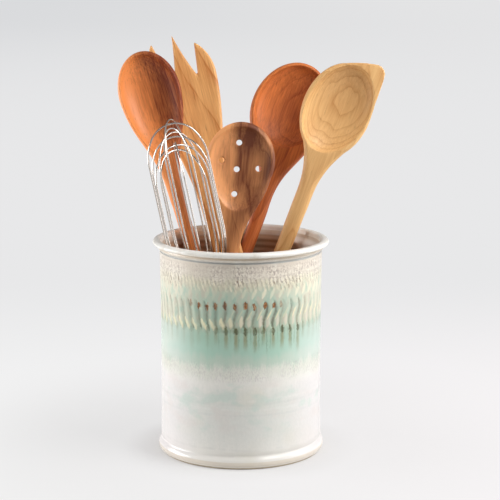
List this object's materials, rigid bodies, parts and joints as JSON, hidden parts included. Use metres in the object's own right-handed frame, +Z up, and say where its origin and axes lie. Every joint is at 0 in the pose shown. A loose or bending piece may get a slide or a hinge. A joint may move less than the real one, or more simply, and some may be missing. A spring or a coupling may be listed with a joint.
{
  "type": "utensil crock",
  "caption": "Thrown stoneware utensil crock with a rolled rim and foot, holding wooden spoons, a wooden fork and a balloon whisk that lift out.",
  "frame": {"origin": "middle of the foot ring, on the surface that the crock stands on", "axes": "+Z up, -Y the side that the utensils face, +X to the right as seen from that side"},
  "size_m": [0.2244, 0.1683, 0.3393],
  "materials": {
    "crock_glaze": "glossy glaze with a carved celadon band",
    "cherry_wood": "oiled",
    "cherry_wood_dark": "oiled",
    "fork_wood": "oiled",
    "walnut_wood": "oiled",
    "maple_wood": "oiled",
    "whisk_wire": "polished stainless wire",
    "whisk_steel": "satin stainless tube"
  },
  "bodies": {
    "crock": {"crock_body": "crock_glaze"},
    "left_cherry_spoon": {"left_cherry_spoon": "cherry_wood"},
    "right_cherry_spoon": {"right_cherry_spoon": "cherry_wood_dark"},
    "wooden_fork": {"wooden_fork": "fork_wood"},
    "slotted_spoon": {"slotted_spoon": "walnut_wood"},
    "corner_spoon": {"corner_spoon": "maple_wood"},
    "whisk": {"whisk_loop_1": "whisk_wire", "whisk_loop_2": "whisk_wire", "whisk_loop_3": "whisk_wire", "whisk_loop_4": "whisk_wire", "whisk_loop_5": "whisk_wire", "whisk_loop_6": "whisk_wire", "whisk_loop_7": "whisk_wire", "whisk_loop_8": "whisk_wire", "whisk_plug": "whisk_steel", "whisk_handle": "whisk_steel", "whisk_end_cap": "whisk_steel", "whisk_hanger": "whisk_wire"}
  },
  "joints": [
    {"name": "left_cherry_lift", "type": "slide", "parent": "crock", "child": "left_cherry_spoon", "axis": [-0.2718, 0.1492, 0.9507], "range_m": [0, 0.19]},
    {"name": "right_cherry_lift", "type": "slide", "parent": "crock", "child": "right_cherry_spoon", "axis": [0.3444, 0.2003, 0.9172], "range_m": [0, 0.19]},
    {"name": "fork_lift", "type": "slide", "parent": "crock", "child": "wooden_fork", "axis": [-0.2532, 0.2979, 0.9204], "range_m": [0, 0.19]},
    {"name": "slotted_lift", "type": "slide", "parent": "crock", "child": "slotted_spoon", "axis": [0.097, 0.0498, 0.994], "range_m": [0, 0.19]},
    {"name": "corner_lift", "type": "slide", "parent": "crock", "child": "corner_spoon", "axis": [0.3588, 0.0294, 0.9329], "range_m": [0, 0.19]},
    {"name": "whisk_lift", "type": "slide", "parent": "crock", "child": "whisk", "axis": [-0.2099, 0.0435, 0.9768], "range_m": [0, 0.19]}
  ]
}
